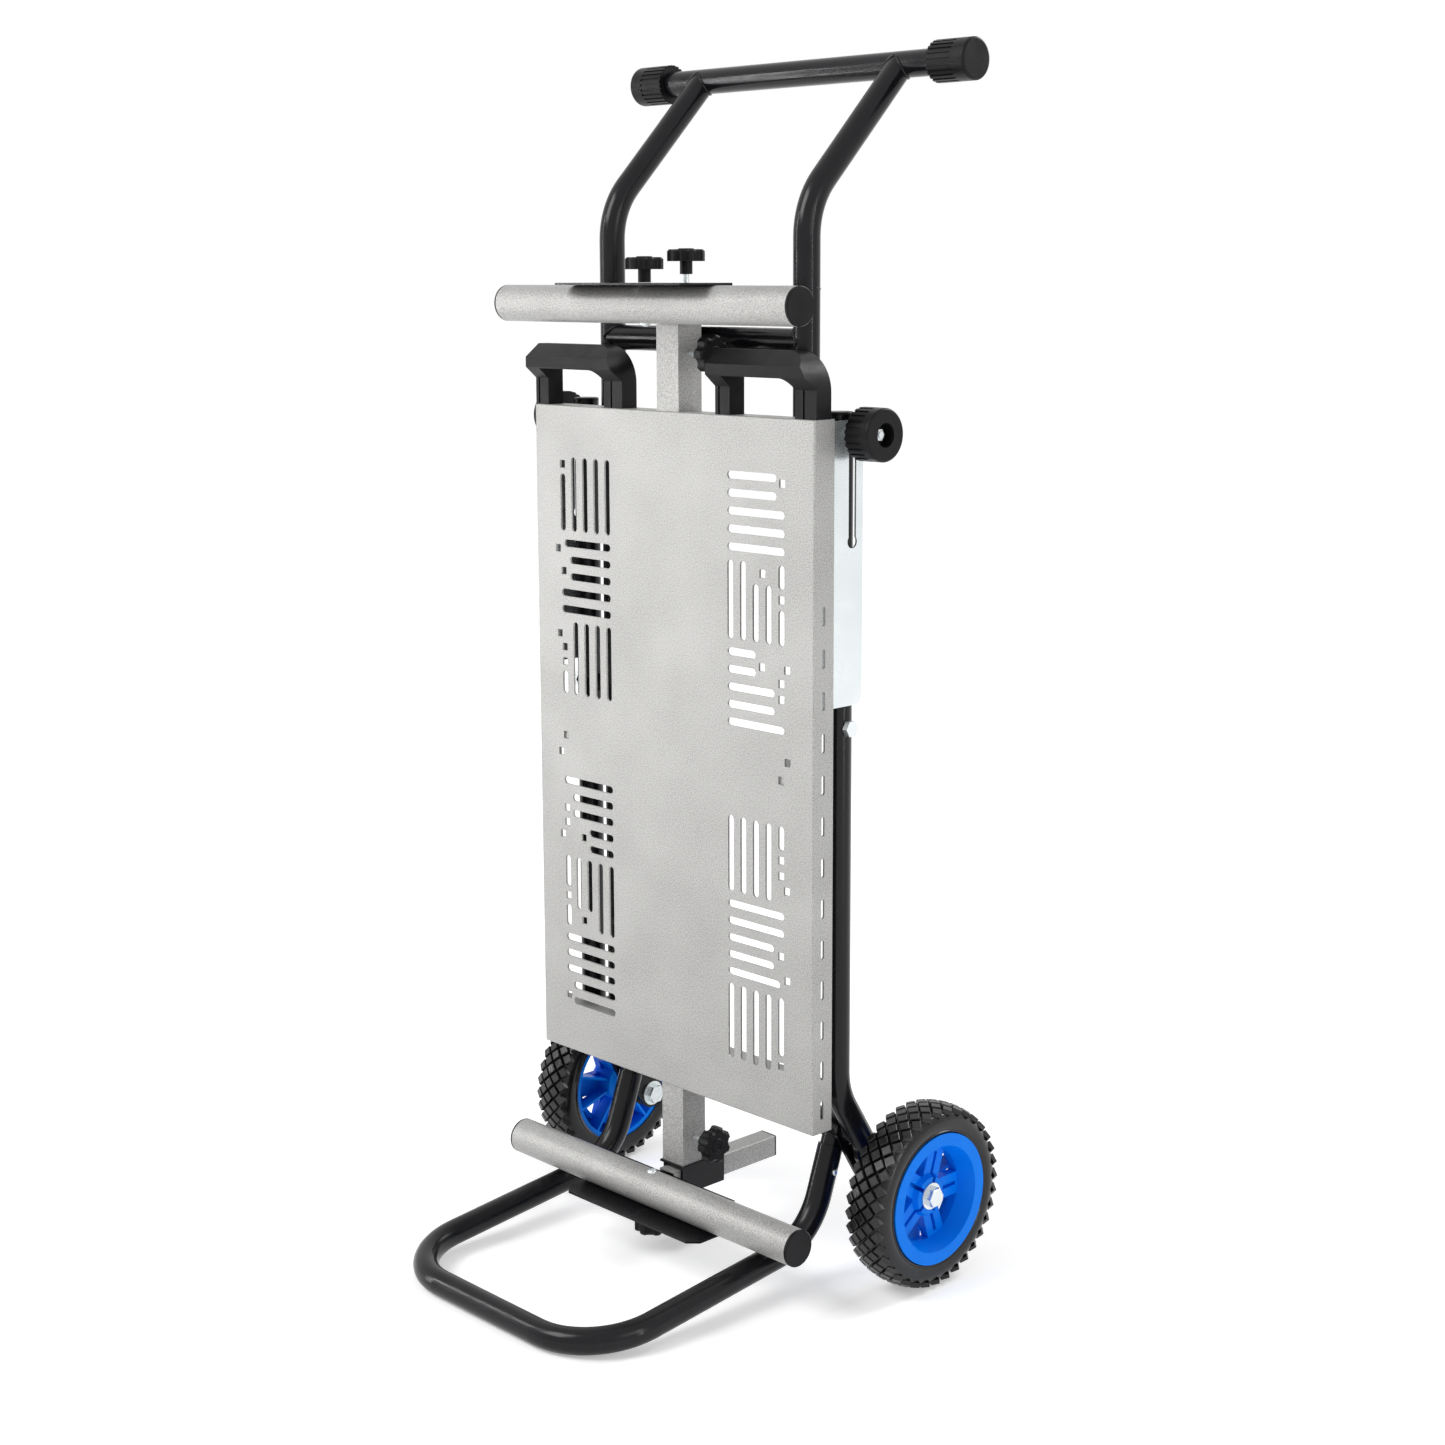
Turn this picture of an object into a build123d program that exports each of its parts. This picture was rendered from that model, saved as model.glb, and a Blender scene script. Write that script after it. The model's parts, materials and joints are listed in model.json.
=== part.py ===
"""Folding miter saw stand in its folded, upright state, standing on its wheels and its toe loop.

Millimetres, +Z up, +X to the right of someone who faces the table's working face, +Y to the back.
The origin is on the floor, at the middle of the stand's width and depth.
"""
import math
import os
from math import atan2, cos, degrees, radians, sin

from build123d import *

os.makedirs("parts", exist_ok=True)

# Table
table_width = 386.0
table_length = 664.0
table_foot = 169.0
sheet = 2.0
flange_depth = 26.0
table_corner = 3.0
slot_width = 7.5
slot_pitch = 16.6
slots_in_block = 5
block_gap = 8.4
blocks_to_middle = 82.0
groups_to_middle = 43.0
vent_square = 7.5
edge_slot_length = 18.0
edge_slot_width = 4.0
edge_slot_pitch = 38.8
edge_slot_count = 13
edge_slot_first = 22.0

# Spine, the square tube under the table that the arms slide in
spine_size = 30.0
spine_wall = 2.0
spine_overhang = 81.0
arm_play = 0.5
arm_wall = 2.0
arm_length = 330.0

# Cross channels under the table
channel_height = 30.0
end_channel_height = 15.0
channel_wall = 1.5
channel_inset = 41.0

# Tubes of both leg frames
tube = 25.0
tube_back = 52.0
tube_wall = 1.8
plug_play = 0.2
plug_length = 42.0

# Wheel frame
wheel_leg_side = 175.0
wheel_leg_top = 16.0
wheel_leg_kink = 196.0
wheel_leg_bend = 70.0
end_plate = 6.0
end_plate_width = 32.0
end_plate_length = 44.0
cross_tube_share = 0.47
cross_tube = 24.8
axle_bracket_side = 160.0
axle_bracket = 3.6

# Toe loop
toe_side = 145.0
toe_reach = 233.0
toe_slope = 0.10
toe_corner = 73.0
toe_rise_bend = 68.0
toe_lean = 19.6
toe_joint_drop = 20.0
button = 3.0
button_play = 0.08
button_stand = 2.2
button_length = 7.0
button_drop = 24.0

# Handle frame
handle_side = 133.0
handle_bend = 75.0
bar_back = 178.0
bar_height = 1152.0
bar_rise = 128.0
arm_neck = 77.0
handle_cross_drop = 48.0
bar_reach = 224.0
bar_cap = 39.0
bar_cap_length = 45.0
bar_cap_end = 4.0

# Pivots of the fold
fold_pivot = 548.0
table_hinge = 16.0
hinge_tail = 13.0
pivot_bolt = 8.0
bolt_play = 0.08
bolt_head = 14.0
bolt_head_height = 5.5
nut_height = 6.5
washer = 1.5
spacer_size = 18.0
face_play = 0.3
ear = 3.0
ear_width = 34.0

# Side brackets with the lock slot, and the lock grips
side_bracket = 2.0
side_bracket_edge = 14.0
side_bracket_length = 261.0
side_bracket_corner = 10.0
lock_height = 819.0
lock_travel = 98.0
lock_slot = 9.8
lock_hole = 12.5
lock_pin = 6.0
lock_collar = 13.0
lock_nut = 10.0
lock_nut_height = 5.0
lock_head = 12.0
lock_head_height = 3.0
grip = 48.6
grip_length = 28.0
grip_gap = 10.0
grip_bore = 22.0
grip_bore_depth = 12.0
grip_rim = 2.5
rib_count = 24
rib_depth = 1.2
rib_share = 0.42
rib_plain_share = 0.36

# Wheels
wheel = 179.0
wheel_back = 118.4
wheel_outer_side = 249.0
tyre_width = 44.0
tread_depth = 4.0
shoulder_drop = 5.0
rim = 128.0
rim_width = 38.0
rim_wall = 5.0
rim_lip = 12.0
rim_draft = 7.0
hub = 42.0
hub_recess = 12.0
spoke_recess = 17.0
hub_taper = 30.0
axle = 10.0
bush = 16.0
spoke_count = 5
spoke_width = 22.0
spoke_groove = 4.0
spoke_groove_depth = 4.0
spoke_thick = 9.0
back_rib = 2.5
back_rib_count = 10
tread_notches = 28
notch_width = 5.0
notch_length_share = 0.3
axle_head = 17.0
axle_head_height = 7.0
axle_washer = 26.0

# Work supports at both ends
support_reach = 101.7
support_front = 26.0
support_bar = 35.4
support_bar_wall = 1.5
support_bar_reach = 201.5
support_cap = 3.0
support_cap_plug = 12.0
support_plate = 2.0
support_plate_reach = 96.0
support_plate_front = 36.0
support_plate_corner = 10.0
support_plate_drop = 30.0
support_plate_slot = 2.4
support_plate_slot_length = 24.0
post_size = 22.0
post_wall = 1.8
post_back = 135.0
post_shift = 2.5
post_plug = 2.0
sleeve_wall = 2.8
sleeve_play = 0.3
sleeve_front = 2.0
sleeve_back = 59.0
head_plate = 2.0
head_plate_margin = 2.0

# Clamp knobs
knob = 36.0
knob_thick = 11.0
knob_lobes = 7
knob_lobe_share = 0.17
knob_stem = 12.0
knob_stem_length = 12.0
stud = 6.0
arm_knob_inset = 27.0
arm_knob_gap = 12.0
sleeve_knob_gap = 16.0
sleeve_knob_back = 27.0

# Grab handles
grab_length = 129.0
grab_height = 60.0
grab_centre = 129.0
grab_front = 2.0
grab_back = 21.0
grab_ahead = 11.0
grab_left_leg = 19.0
grab_right_leg = 26.5
grab_opening = 36.0
grab_slant_start = 26.0
grab_slant_end = 37.0
grab_nose = 10.0
grab_top = 15.0
grab_round = 36.0
grab_inner_round = 9.0
grab_edge = 2.5
grab_seam = 2.2
grab_seam_depth = 1.2

# Extra reach of every cut past the faces that it opens
overrun = 5.0

# Slots of the table's face, block by block from the top, for the upper left and lower left groups.
# A lane is its number from the outer side or from the top, then the shares where it starts and ends.
# A square is its place in the block, as a share from the outer side and a share from the top.
upper_lane_shares = (
    ("upright", ((0, 0.23, 1), (1, 0, 1), (2, 0, 1), (3, 0, 1), (4, 0, 1))),
    ("level", ((0, 0.07, 1), (1, 0.18, 1), (2, 0.18, 1), (3, 0, 1), (4, 0, 1))),
    ("upright", ((0, 0.69, 1), (1, 0, 1), (2, 0, 1), (3, 0, 1), (4, 0, 1))),
)
upper_square_shares = (
    ((0.05, 0.1),),
    ((-0.06, 0.13), (0.05, 0.43)),
    ((-0.05, 0.18), (0.05, 0.36), (0.05, 0.56)),
)
lower_lane_shares = (
    ("level", ((0, 0, 1), (1, 0.17, 1), (2, 0.17, 1), (3, 0.5, 1), (4, 0.5, 1))),
    ("upright", ((0, 0, 0.44), (0, 0.7, 1), (1, 0, 0.73), (2, 0, 0.73), (3, 0, 1), (4, 0, 1))),
    ("level", ((0, 0, 1), (1, 0, 1), (2, 0, 1), (3, 0.14, 1), (4, 0.14, 1))),
)
lower_square_shares = (
    ((0.39, 0.81), (-0.05, 0.82), (0.05, 0.64), (0.05, 0.44), (0.05, -0.58), (-0.06, -0.34)),
    ((0.05, 0.57), (0.38, 0.87)),
    ((0.04, 0.89),),
)

# Places that follow from the sizes above
tube_r = tube / 2
wheel_r = wheel / 2
face_y = (toe_reach + tube_r - wheel_back - wheel_r) / 2
frame_y = face_y + tube_back
axle_y = face_y + wheel_back
toe_y = face_y - toe_reach
table_top = table_foot + table_length
table_middle = table_foot + table_length / 2
spine_y = face_y + sheet + spine_size / 2
spine_half = table_length / 2 + spine_overhang
leg_slant = atan2(axle_y - frame_y, wheel_leg_kink - wheel_r)
leg_run = math.hypot(axle_y - frame_y, wheel_leg_kink - wheel_r)
bore_r = tube_r - tube_wall
plug_r = bore_r - plug_play
plug_bore_r = plug_r - tube_wall
hinge_height = table_foot + table_hinge
handle_kink = bar_height - bar_rise
handle_joint = handle_kink - arm_neck
handle_cross = handle_joint - handle_cross_drop
grip_start = table_width / 2 + grip_gap
cross_r = cross_tube / 2
cross_bore_r = cross_r - tube_wall


def keep(name, piece):
    """Names a finished piece and writes it."""
    piece.part.label = name
    export_step(piece.part, f"parts/{name}.step")


def side_plane(x, y, z):
    """A plane square to X, with its own X along +Y and its own Y along +Z."""
    return Plane(origin=(x, y, z), x_dir=(0, 1, 0), z_dir=(1, 0, 0))


def up_plane(x, y, z, up=1):
    """A plane square to Z that faces up or down."""
    return Plane(origin=(x, y, z), x_dir=(1, 0, 0), z_dir=(0, 0, up))


def back_plane(x, y, z):
    """A plane square to Y that faces back, with its own Y pointing down."""
    return Plane(origin=(x, y, z), x_dir=(1, 0, 0), z_dir=(0, 1, 0))


def leg_point(share):
    """A point on the slanted stretch of a wheel leg, from its kink to the axle, as (y, z)."""
    y = frame_y + (axle_y - frame_y) * share
    z = wheel_leg_kink + (wheel_r - wheel_leg_kink) * share
    return y, z


cross_y, cross_z = leg_point(cross_tube_share)
toe_down = (-sin(radians(toe_lean)), -cos(radians(toe_lean)))


def toe_line(y):
    """Height of the toe loop's side tubes over the floor at a given depth."""
    return tube_r + toe_slope * (y - toe_y)


toe_run = (cross_z - toe_line(cross_y)) / (toe_slope * toe_down[0] - toe_down[1])
toe_corner_y = cross_y + toe_down[0] * toe_run
toe_corner_z = cross_z + toe_down[1] * toe_run
toe_top_y = cross_y + toe_down[0] * toe_joint_drop
toe_top_z = cross_z + toe_down[1] * toe_joint_drop
button_y = toe_top_y + toe_down[0] * button_drop
button_z = toe_top_z + toe_down[1] * button_drop


def toe_plane(side, along):
    """A plane across a toe loop upright, a given distance below its top, facing down the tube."""
    return Plane(
        origin=(side * toe_side, toe_top_y + toe_down[0] * along, toe_top_z + toe_down[1] * along),
        x_dir=(1, 0, 0),
        z_dir=(0, toe_down[0], toe_down[1]),
    )


# Wheel frame: two legs that bend back to the axle, a cross tube and the stubs for the toe loop
with BuildPart() as wheel_frame:
    for side in (-1, 1):
        x = side * wheel_leg_side
        end_y, end_z = leg_point(1 - end_plate_length / 2 / leg_run)
        with BuildLine():
            FilletPolyline(
                (x, frame_y, lock_height + wheel_leg_top),
                (x, frame_y, wheel_leg_kink),
                (x, end_y, end_z),
                radius=wheel_leg_bend,
            )
        with BuildSketch(up_plane(x, frame_y, lock_height + wheel_leg_top, -1)):
            Circle(tube_r)
        sweep()
        with BuildSketch(side_plane(x - end_plate / 2, axle_y, wheel_r)):
            with Locations(Location((0, 0, 0), degrees(leg_slant) + 90)):
                with Locations((end_plate_length / 2, 0)):
                    SlotCenterToCenter(end_plate_length, end_plate_width)
        extrude(amount=end_plate)
    with BuildSketch(side_plane(-wheel_leg_side, cross_y, cross_z)):
        Circle(cross_r)
    extrude(amount=2 * wheel_leg_side)
    for side in (-1, 1):
        with BuildSketch(toe_plane(side, -toe_joint_drop)):
            Circle(plug_r)
        extrude(amount=toe_joint_drop + plug_length)
    for side in (-1, 1):
        x = side * wheel_leg_side
        end_y, end_z = leg_point(1 - end_plate_length / leg_run)
        with BuildLine():
            FilletPolyline(
                (x, frame_y, lock_height + wheel_leg_top),
                (x, frame_y, wheel_leg_kink),
                (x, end_y, end_z),
                radius=wheel_leg_bend,
            )
        with BuildSketch(up_plane(x, frame_y, lock_height + wheel_leg_top, -1)):
            Circle(bore_r)
        sweep(mode=Mode.SUBTRACT)
        with BuildSketch(toe_plane(side, -toe_joint_drop)):
            Circle(plug_bore_r)
        extrude(amount=toe_joint_drop + plug_length, mode=Mode.SUBTRACT)
    with BuildSketch(side_plane(-wheel_leg_side, cross_y, cross_z)):
        Circle(cross_bore_r)
    extrude(amount=2 * wheel_leg_side, mode=Mode.SUBTRACT)
    reach = wheel_leg_side + tube
    for height, hole in ((fold_pivot, pivot_bolt), (lock_height, lock_pin)):
        with BuildSketch(side_plane(-reach, frame_y, height)):
            Circle(hole / 2 + bolt_play)
        extrude(amount=2 * reach, mode=Mode.SUBTRACT)
    with BuildSketch(side_plane(-reach, axle_y, wheel_r)):
        Circle(axle / 2 + bolt_play)
    extrude(amount=2 * reach, mode=Mode.SUBTRACT)
    for side in (-1, 1):
        with BuildSketch(side_plane(side * toe_side, button_y, button_z)):
            Circle(button + button_play)
        extrude(amount=side * (tube_r + overrun), mode=Mode.SUBTRACT)
keep("wheel_frame", wheel_frame)

# Plates from the cross tube to the inner ends of the axle bolts
with BuildPart() as axle_brackets:
    span = math.hypot(axle_y - cross_y, cross_z - wheel_r)
    for side in (-1, 1):
        with BuildSketch(side_plane(side * axle_bracket_side - axle_bracket / 2, axle_y, wheel_r)):
            with Locations(Location((0, 0, 0), degrees(leg_slant) + 90)):
                with Locations((span / 2, 0)):
                    SlotCenterToCenter(span, end_plate_width)
            Circle(axle / 2 + bolt_play, mode=Mode.SUBTRACT)
            with Locations((cross_y - axle_y, cross_z - wheel_r)):
                Circle(cross_r + bolt_play, mode=Mode.SUBTRACT)
        extrude(amount=axle_bracket)
keep("axle_brackets", axle_brackets)

# Plastic plugs in the open tops of the wheel legs
with BuildPart() as leg_plugs:
    for side in (-1, 1):
        with BuildSketch(up_plane(side * wheel_leg_side, frame_y, lock_height + wheel_leg_top)):
            Circle(tube_r)
        extrude(amount=support_cap)
    chamfer(leg_plugs.faces().sort_by(Axis.Z)[-2:].edges(), support_cap / 3)
keep("leg_plugs", leg_plugs)

# Toe loop: a U on the floor whose ends rise and slip over the stubs
with BuildPart() as toe_loop:
    with BuildLine():
        FilletPolyline(
            (-toe_side, toe_top_y, toe_top_z),
            (-toe_side, toe_corner_y, toe_corner_z),
            (-toe_side, toe_y, tube_r),
            (toe_side, toe_y, tube_r),
            (toe_side, toe_corner_y, toe_corner_z),
            (toe_side, toe_top_y, toe_top_z),
            radius=(toe_rise_bend, toe_corner, toe_corner, toe_rise_bend),
        )
    with BuildSketch(toe_plane(-1, 0)):
        Circle(tube_r)
        Circle(bore_r, mode=Mode.SUBTRACT)
    sweep()
    for side in (-1, 1):
        with BuildSketch(side_plane(side * toe_side, button_y, button_z)):
            Circle(button + button_play)
        extrude(amount=side * (tube_r + overrun), mode=Mode.SUBTRACT)
keep("toe_loop", toe_loop)

# Spring buttons that hold the toe loop on its stubs
for word, side in (("left", -1), ("right", 1)):
    with BuildPart() as toe_button:
        start = side * (toe_side + tube_r + button_stand)
        with BuildSketch(side_plane(start, button_y, button_z)):
            Circle(button)
        extrude(amount=-side * button_length)
        chamfer(toe_button.faces().sort_by(Axis.X)[-1 if side > 0 else 0].edges(), button / 3)
    keep(f"toe_button_{word}", toe_button)

# Bolts that the wheels turn on, with their heads outside and their nuts on the inner plates
wheel_inner_side = wheel_outer_side - tyre_width
hub_face = wheel_outer_side - hub_recess
bolt_end = axle_bracket_side - axle_bracket / 2 - washer - nut_height
with BuildPart() as axle_bolts:
    for side in (-1, 1):
        with BuildSketch(side_plane(side * bolt_end, axle_y, wheel_r)):
            Circle(axle / 2)
        extrude(amount=side * (hub_face + washer - bolt_end))
        with BuildSketch(side_plane(side * (hub_face + washer), axle_y, wheel_r)):
            RegularPolygon(axle_head / 2, 6, major_radius=False)
        extrude(amount=side * axle_head_height)
    chamfer(axle_bolts.faces().sort_by(Axis.X)[-1].edges(), washer / 2)
    chamfer(axle_bolts.faces().sort_by(Axis.X)[0].edges(), washer / 2)
keep("axle_bolts", axle_bolts)

with BuildPart() as axle_nuts:
    for side in (-1, 1):
        with BuildSketch(side_plane(side * bolt_end, axle_y, wheel_r)):
            RegularPolygon(axle_head / 2, 6, major_radius=False)
            Circle(axle / 2 + bolt_play, mode=Mode.SUBTRACT)
        extrude(amount=side * nut_height)
keep("axle_nuts", axle_nuts)

with BuildPart() as axle_washers:
    for side in (-1, 1):
        for place in (bolt_end + nut_height, hub_face):
            with BuildSketch(side_plane(side * place, axle_y, wheel_r)):
                Circle(axle_washer / 2)
                Circle(axle / 2 + bolt_play, mode=Mode.SUBTRACT)
            extrude(amount=side * washer)
keep("axle_washers", axle_washers)

# Spacers that keep the wheels off the legs
with BuildPart() as axle_spacers:
    for side in (-1, 1):
        for start, end in (
            (axle_bracket_side + axle_bracket / 2, wheel_leg_side - end_plate / 2),
            (wheel_leg_side + end_plate / 2, wheel_inner_side - face_play),
        ):
            with BuildSketch(side_plane(side * start, axle_y, wheel_r)):
                Circle(bush / 2)
                Circle(axle / 2 + bolt_play, mode=Mode.SUBTRACT)
            extrude(amount=side * (end - start))
keep("axle_spacers", axle_spacers)


def tyre(side):
    """A solid rubber tyre with notched shoulders."""
    half = tyre_width / 2
    middle = side * (wheel_outer_side - half)
    with BuildPart() as piece:
        with BuildSketch(Plane.XY):
            with BuildLine():
                Polyline(
                    (-half, rim / 2),
                    (-half, wheel_r - tread_depth - shoulder_drop),
                    (-half + shoulder_drop, wheel_r - shoulder_drop / 2),
                )
                ThreePointArc(
                    (-half + shoulder_drop, wheel_r - shoulder_drop / 2),
                    (0, wheel_r),
                    (half - shoulder_drop, wheel_r - shoulder_drop / 2),
                )
                Polyline(
                    (half - shoulder_drop, wheel_r - shoulder_drop / 2),
                    (half, wheel_r - tread_depth - shoulder_drop),
                    (half, rim / 2),
                    (-half, rim / 2),
                )
            make_face()
        revolve(axis=Axis.X)
        long = tyre_width * notch_length_share
        for end in (-1, 1):
            with BuildSketch(Plane.XY.offset(wheel_r - tread_depth)):
                with Locations((end * (half - long / 2 + overrun / 2), 0)):
                    Rectangle(long + overrun, notch_width)
            notch = extrude(amount=tread_depth + overrun, mode=Mode.PRIVATE)
            for step in range(tread_notches):
                turn = (step + (end + 1) / 4) * 360 / tread_notches
                add(notch.rotate(Axis.X, turn), mode=Mode.SUBTRACT)
    piece.part = Pos(middle, axle_y, wheel_r) * piece.part
    return piece


def rim_of(side):
    """A dished five-spoke rim: an outer lip, a barrel, paired spokes and a ribbed back."""
    half = tyre_width / 2
    barrel = rim / 2
    mouth = barrel - rim_lip
    dish = mouth - rim_draft
    spoke_out = half - spoke_recess
    with BuildPart() as piece:
        with BuildSketch(Plane.XY):
            with BuildLine():
                Polyline(
                    (half, barrel),
                    (half, mouth),
                    (spoke_out, dish),
                    (spoke_out - spoke_thick, dish),
                    (spoke_out - spoke_thick, dish + rim_wall),
                    (half - rim_wall, mouth + rim_wall),
                    (half - rim_wall, barrel - rim_wall),
                    (-rim_width / 2, barrel - rim_wall),
                    (-rim_width / 2, barrel),
                    close=True,
                )
            make_face()
        revolve(axis=Axis.X)
        with BuildSketch(side_plane(-half, 0, 0)):
            Circle(hub / 2)
        extrude(amount=half + spoke_out)
        with BuildSketch(side_plane(spoke_out, 0, 0)):
            Circle(hub / 2)
        extrude(amount=spoke_recess - hub_recess, taper=hub_taper)
        spoke = dish + rim_wall / 2
        with BuildSketch(side_plane(spoke_out - spoke_thick, 0, 0)):
            with PolarLocations(spoke / 2, spoke_count):
                Rectangle(spoke, spoke_width)
        extrude(amount=spoke_thick)
        with BuildSketch(side_plane(spoke_out - spoke_groove_depth, 0, 0)):
            with PolarLocations((dish + bush / 2) / 2, spoke_count):
                SlotOverall(dish - bush / 2 - rim_wall, spoke_groove)
        extrude(amount=rim_lip, mode=Mode.SUBTRACT)
        rib_length = barrel - rim_wall / 2
        with BuildSketch(side_plane(-rim_width / 2, 0, 0)):
            with PolarLocations(rib_length / 2, back_rib_count, start_angle=180 / back_rib_count):
                Rectangle(rib_length, back_rib)
        extrude(amount=rim_width / 2 + spoke_out - spoke_thick)
        with BuildSketch(side_plane(-half, 0, 0)):
            Circle(bush / 2)
        extrude(amount=tyre_width, mode=Mode.SUBTRACT)
    if side < 0:
        piece.part = piece.part.rotate(Axis.Z, 180)
    piece.part = Pos(side * (wheel_outer_side - half), axle_y, wheel_r) * piece.part
    return piece


def bush_of(side):
    """The plain bush in a wheel's hub, with a collar on the outer side."""
    with BuildPart() as piece:
        with BuildSketch(side_plane(side * wheel_inner_side, axle_y, wheel_r)):
            Circle(bush / 2)
            Circle(axle / 2 + bolt_play, mode=Mode.SUBTRACT)
        extrude(amount=side * (tyre_width - hub_recess - face_play))
    return piece


for word, side in (("left", -1), ("right", 1)):
    keep(f"tyre_{word}", tyre(side))
    keep(f"rim_{word}", rim_of(side))
    keep(f"wheel_bush_{word}", bush_of(side))


def ribbed(plane, length, size, amount_side):
    """A round grip with grooves along its side that stop short of its rounded outer end."""
    with BuildPart() as piece:
        with BuildSketch(plane):
            Circle(size / 2)
            gap = math.pi * size / rib_count * rib_share
            with PolarLocations(size / 2, rib_count):
                Rectangle(2 * rib_depth, gap, mode=Mode.SUBTRACT)
        extrude(amount=amount_side * length * (1 - rib_plain_share))
        with BuildSketch(plane.offset(amount_side * length * (1 - rib_plain_share))):
            Circle(size / 2)
        extrude(amount=amount_side * length * rib_plain_share)
        fillet(piece.faces().sort_by(Axis.X)[-1 if amount_side > 0 else 0].edges(), grip_rim)
    return piece


# Clamp grips on the studs that run in the side brackets' slots
for word, side in (("left", -1), ("right", 1)):
    with BuildPart() as lock_grip:
        add(ribbed(side_plane(side * grip_start, frame_y, lock_height), grip_length, grip, side).part)
        with BuildSketch(side_plane(side * (grip_start + grip_length), frame_y, lock_height)):
            Circle(grip_bore / 2)
        extrude(amount=-side * grip_bore_depth, mode=Mode.SUBTRACT)
        with BuildSketch(side_plane(side * grip_start, frame_y, lock_height)):
            Circle(lock_pin / 2 + bolt_play)
        extrude(amount=side * grip_length, mode=Mode.SUBTRACT)
    keep(f"lock_grip_{word}", lock_grip)

    bracket_out = table_width / 2 - sheet
    collar_start = bracket_out + face_play
    grip_floor = grip_start + grip_length - grip_bore_depth
    head_start = wheel_leg_side - tube_r
    with BuildPart() as lock_pin_piece:
        with BuildSketch(side_plane(side * head_start, frame_y, lock_height)):
            Circle(lock_pin / 2)
        extrude(amount=side * (grip_floor - head_start + lock_nut_height + washer))
        with BuildSketch(side_plane(side * collar_start, frame_y, lock_height)):
            Circle(lock_collar / 2)
        extrude(amount=side * (grip_start - collar_start))
        with BuildSketch(side_plane(side * grip_floor, frame_y, lock_height)):
            RegularPolygon(lock_nut / 2, 6, major_radius=False)
        extrude(amount=side * lock_nut_height)
        with BuildSketch(side_plane(side * head_start, frame_y, lock_height)):
            Circle(lock_head / 2)
        extrude(amount=-side * lock_head_height)
    keep(f"lock_pin_{word}", lock_pin_piece)

# Handle frame, lower part: two long tubes and a cross tube
with BuildPart() as handle_tubes:
    for side in (-1, 1):
        with BuildSketch(up_plane(side * handle_side, frame_y, hinge_height - hinge_tail)):
            Circle(tube_r)
        extrude(amount=handle_joint - hinge_height + hinge_tail)
    with BuildSketch(side_plane(-handle_side, frame_y, handle_cross)):
        Circle(cross_r)
    extrude(amount=2 * handle_side)
    for side in (-1, 1):
        with BuildSketch(up_plane(side * handle_side, frame_y, handle_joint, -1)):
            Circle(bore_r)
        extrude(amount=handle_joint - hinge_height + hinge_tail, mode=Mode.SUBTRACT)
    with BuildSketch(side_plane(-handle_side, frame_y, handle_cross)):
        Circle(cross_bore_r)
    extrude(amount=2 * handle_side, mode=Mode.SUBTRACT)
    reach = handle_side + tube
    for height in (fold_pivot, hinge_height):
        with BuildSketch(side_plane(-reach, frame_y, height)):
            Circle(pivot_bolt / 2 + bolt_play)
        extrude(amount=2 * reach, mode=Mode.SUBTRACT)
keep("handle_tubes", handle_tubes)



def handle_arm(side, start):
    """The line of one bent arm, from a given height to the bar."""
    x = side * handle_side
    FilletPolyline(
        (x, frame_y, start),
        (x, frame_y, handle_kink),
        (x, face_y + bar_back, bar_height),
        radius=handle_bend,
    )


# Handle frame, upper part: bent arms that plug into the long tubes and carry the bar
with BuildPart() as handle_top:
    bar_half = bar_reach - bar_cap_end
    for radius, plug_radius, start, mode in (
        (tube_r, plug_r, handle_joint, Mode.ADD),
        (bore_r, plug_bore_r, handle_joint + tube_r, Mode.SUBTRACT),
    ):
        for side in (-1, 1):
            x = side * handle_side
            with BuildLine():
                handle_arm(side, start)
            with BuildSketch(up_plane(x, frame_y, start)):
                Circle(radius)
            sweep(mode=mode)
            with BuildSketch(up_plane(x, frame_y, start, -1)):
                Circle(plug_radius)
            extrude(amount=plug_length + start - handle_joint, mode=mode)
        with BuildSketch(side_plane(-bar_half, face_y + bar_back, bar_height)):
            Circle(radius)
        extrude(amount=2 * bar_half, mode=mode)
keep("handle_top", handle_top)

# Ribbed caps on the bar's ends, which are the feet when the stand is open
with BuildPart() as bar_caps:
    for side in (-1, 1):
        start = side * (bar_reach - bar_cap_length)
        plane = side_plane(start, face_y + bar_back, bar_height)
        add(ribbed(plane, bar_cap_length, bar_cap, side).part)
        with BuildSketch(plane):
            Circle(tube_r + plug_play)
        extrude(amount=side * (bar_cap_length - bar_cap_end), mode=Mode.SUBTRACT)
keep("bar_caps", bar_caps)


def bolts_along_x(name, y, z, start, end, head_start):
    """A pair of hexagon bolts across the stand, from start to end on each side, heads outward."""
    with BuildPart() as piece:
        for side in (-1, 1):
            with BuildSketch(side_plane(side * start, y, z)):
                Circle(pivot_bolt / 2)
            extrude(amount=side * (end - start))
            with BuildSketch(side_plane(side * head_start, y, z)):
                RegularPolygon(bolt_head / 2, 6, major_radius=False)
            extrude(amount=side * bolt_head_height)
    keep(name, piece)


def rings_along_x(name, y, z, spans, size, corners=0):
    """Washers, spacers or nuts on bolts across the stand, one per span and side."""
    with BuildPart() as piece:
        for side in (-1, 1):
            for start, end in spans:
                with BuildSketch(side_plane(side * start, y, z)):
                    if corners:
                        RegularPolygon(size / 2, corners, major_radius=False)
                    else:
                        Circle(size / 2)
                    Circle(pivot_bolt / 2 + bolt_play, mode=Mode.SUBTRACT)
                extrude(amount=side * (end - start))
    keep(name, piece)


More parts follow.
